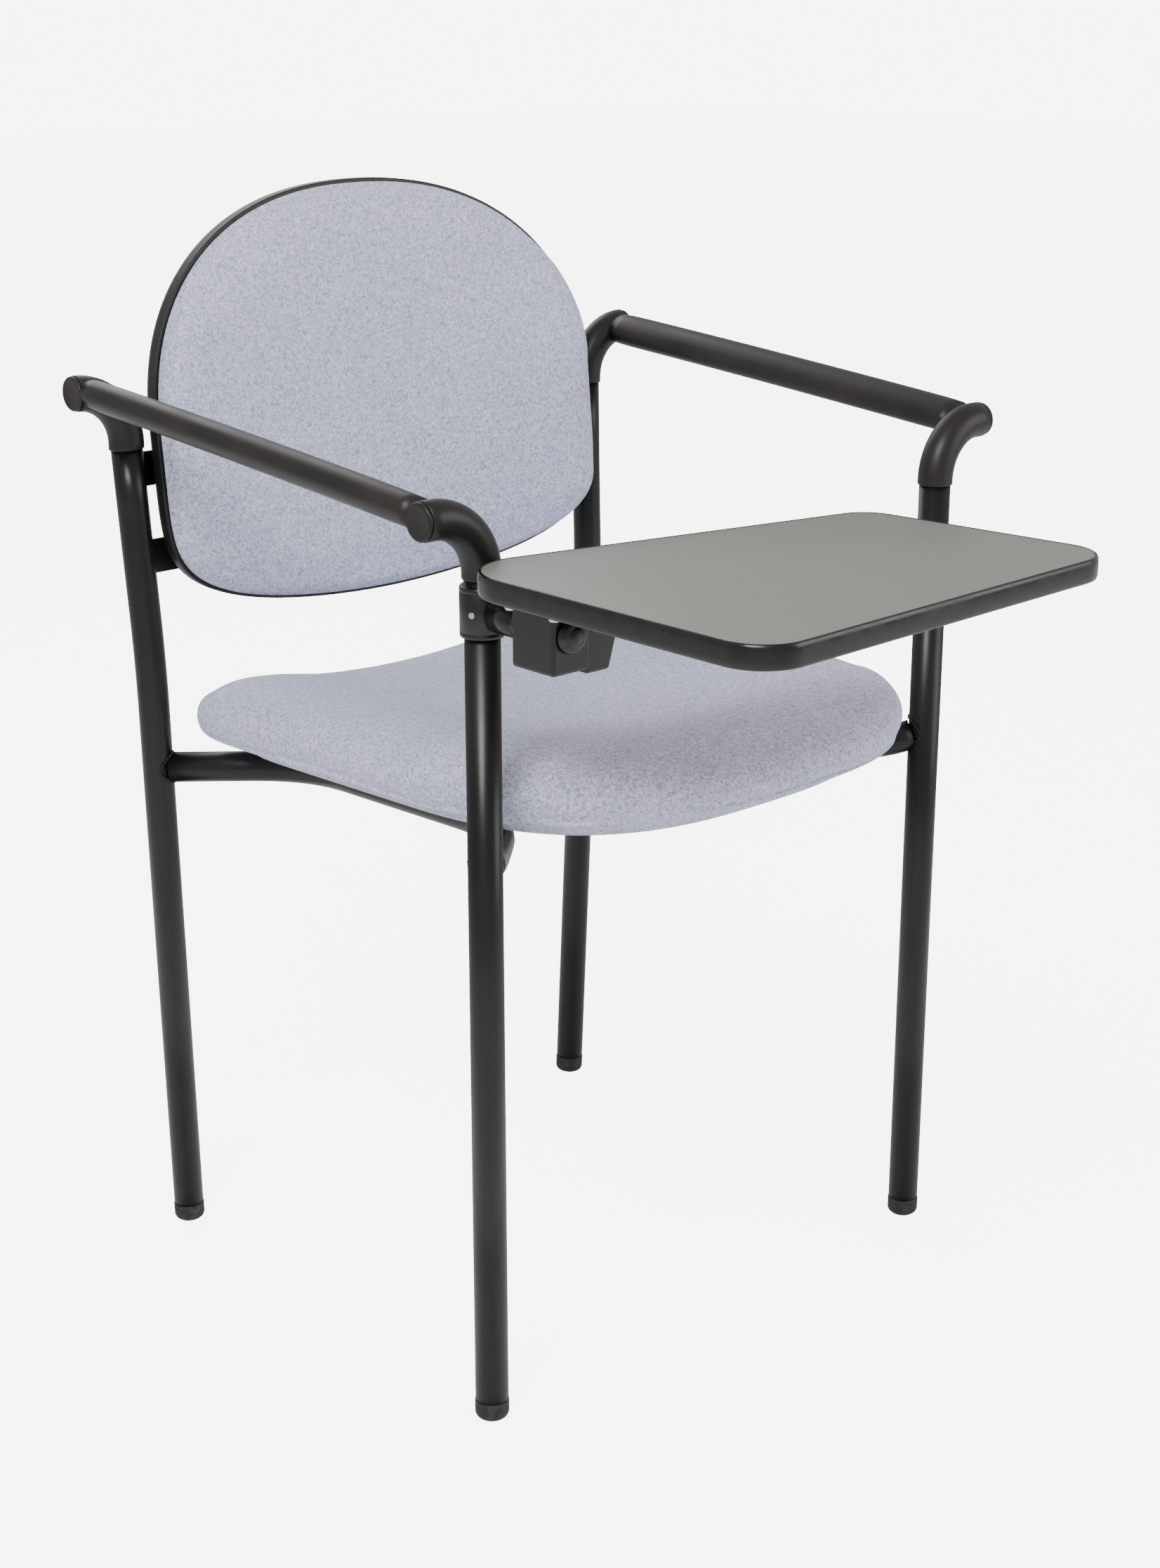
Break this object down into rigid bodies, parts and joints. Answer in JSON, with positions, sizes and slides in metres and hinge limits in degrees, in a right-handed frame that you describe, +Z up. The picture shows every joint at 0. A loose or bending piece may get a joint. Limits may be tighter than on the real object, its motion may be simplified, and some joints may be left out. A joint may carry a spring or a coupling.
{
  "type": "student desk chair",
  "caption": "Four-legged tube-frame armchair with padded seat and back and a writing tablet that flips up beside the right arm.",
  "frame": {"origin": "middle of the footprint on the floor", "axes": "+Z up, +Y toward the back, +X to the sitter's left"},
  "size_m": [0.5932, 0.76, 0.881],
  "materials": {
    "frame_black": "satin black powder coat",
    "glide_plastic": "matte",
    "arm_plastic": "fine moulded grain",
    "arm_steel": "bare steel",
    "zinc": "zinc plated",
    "plywood": "sanded plywood",
    "fabric": "woven pale blue-grey cloth",
    "shell_plastic": "fine texture",
    "bracket_plastic": "semi-gloss",
    "board_core": "particle board",
    "laminate": "fine matte laminate",
    "edge_plastic": "semi-gloss"
  },
  "bodies": {
    "chair": {"arm_bar_left": "arm_steel", "arm_bar_right": "arm_steel", "arm_end_cap_back_left": "arm_plastic", "arm_end_cap_back_right": "arm_plastic", "arm_end_cap_front_left": "arm_plastic", "arm_end_cap_front_right": "arm_plastic", "arm_pad_left": "arm_plastic", "arm_pad_right": "arm_plastic", "back_bolt_left_high": "zinc", "back_bolt_left_low": "zinc", "back_bolt_right_high": "zinc", "back_bolt_right_low": "zinc", "back_bracket_left_high": "frame_black", "back_bracket_left_low": "frame_black", "back_bracket_right_high": "frame_black", "back_bracket_right_low": "frame_black", "back_cushion": "fabric", "back_shell": "shell_plastic", "collar_screw": "zinc", "cross_tube_back": "frame_black", "cross_tube_front": "frame_black", "elbow_back_left": "arm_plastic", "elbow_back_right": "arm_plastic", "elbow_front_left": "arm_plastic", "elbow_front_right": "arm_plastic", "glide_back_left": "glide_plastic", "glide_back_right": "glide_plastic", "glide_front_left": "glide_plastic", "glide_front_right": "glide_plastic", "leg_back_left": "frame_black", "leg_back_right": "frame_black", "leg_front_left": "frame_black", "leg_front_right": "frame_black", "pivot_nut": "bracket_plastic", "pivot_pin": "zinc", "seat_board": "plywood", "seat_cushion": "fabric", "seat_rail_left": "frame_black", "seat_rail_right": "frame_black", "seat_screw_left_back": "zinc", "seat_screw_left_front": "zinc", "seat_screw_right_back": "zinc", "seat_screw_right_front": "zinc", "seat_tab_left_back": "frame_black", "seat_tab_left_front": "frame_black", "seat_tab_right_back": "frame_black", "seat_tab_right_front": "frame_black", "tablet_boss": "bracket_plastic", "tablet_collar": "bracket_plastic"},
    "writing_tablet": {"hinge_housing": "bracket_plastic", "hinge_web": "bracket_plastic", "tablet_board": "board_core", "tablet_edge_band": "edge_plastic", "tablet_laminate": "laminate", "tablet_plate": "frame_black", "tablet_screw_1": "zinc", "tablet_screw_2": "zinc", "tablet_screw_3": "zinc", "tablet_screw_4": "zinc"}
  },
  "joints": [
    {"name": "tablet_flip", "type": "hinge", "parent": "chair", "child": "writing_tablet", "pos_m": [-0.2407, -0.1222, 0.63], "axis": [0, -1, 0], "range_deg": [0, 250]}
  ]
}
